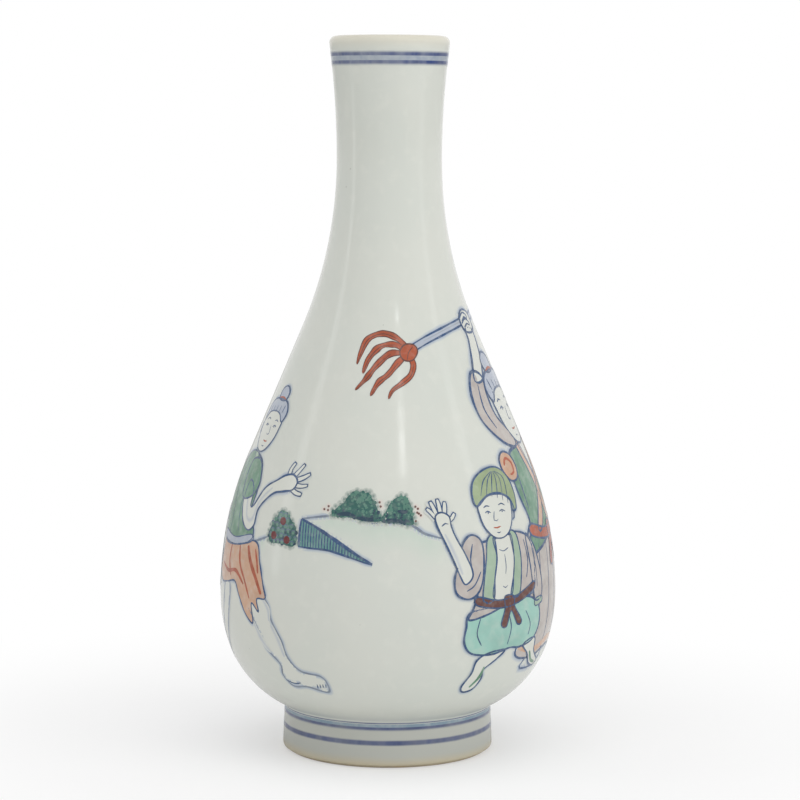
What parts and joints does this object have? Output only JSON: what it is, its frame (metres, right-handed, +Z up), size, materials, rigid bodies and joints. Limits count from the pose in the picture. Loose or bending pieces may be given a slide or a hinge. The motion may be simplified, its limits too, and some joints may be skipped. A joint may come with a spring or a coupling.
{
  "type": "porcelain bottle vase",
  "caption": "Pear-shaped glazed porcelain bottle vase with a long neck, rounded lip, turned foot ring and painted blue lines, to hold stems or stand as ornament.",
  "frame": {"origin": "centre of the standing edge, on the surface that the vase stands on", "axes": "+Z up along the vase's axis, -Y the side that the picture shows"},
  "size_m": [0.1039, 0.104, 0.22],
  "materials": {
    "biscuit": "fired, bare and dry",
    "slip": "fired, bare and dry",
    "cobalt_line": "brushed cobalt under gloss glaze",
    "cobalt_wash": "thin cobalt wash under gloss glaze",
    "clear_glaze": "gloss, faintly cool white"
  },
  "bodies": {
    "root": {"lower_body": "biscuit", "upper_body": "biscuit", "neck": "biscuit", "belly_slip_joint": "slip", "shoulder_slip_joint": "slip", "lip_line_upper": "cobalt_line", "lip_line_lower": "cobalt_line", "foot_line_upper": "cobalt_line", "foot_line_lower": "cobalt_line", "foot_hairline": "cobalt_line", "lip_wash": "cobalt_wash", "foot_wash": "cobalt_wash", "outside_glaze": "clear_glaze", "inside_glaze": "clear_glaze", "base_glaze": "clear_glaze"}
  },
  "joints": []
}
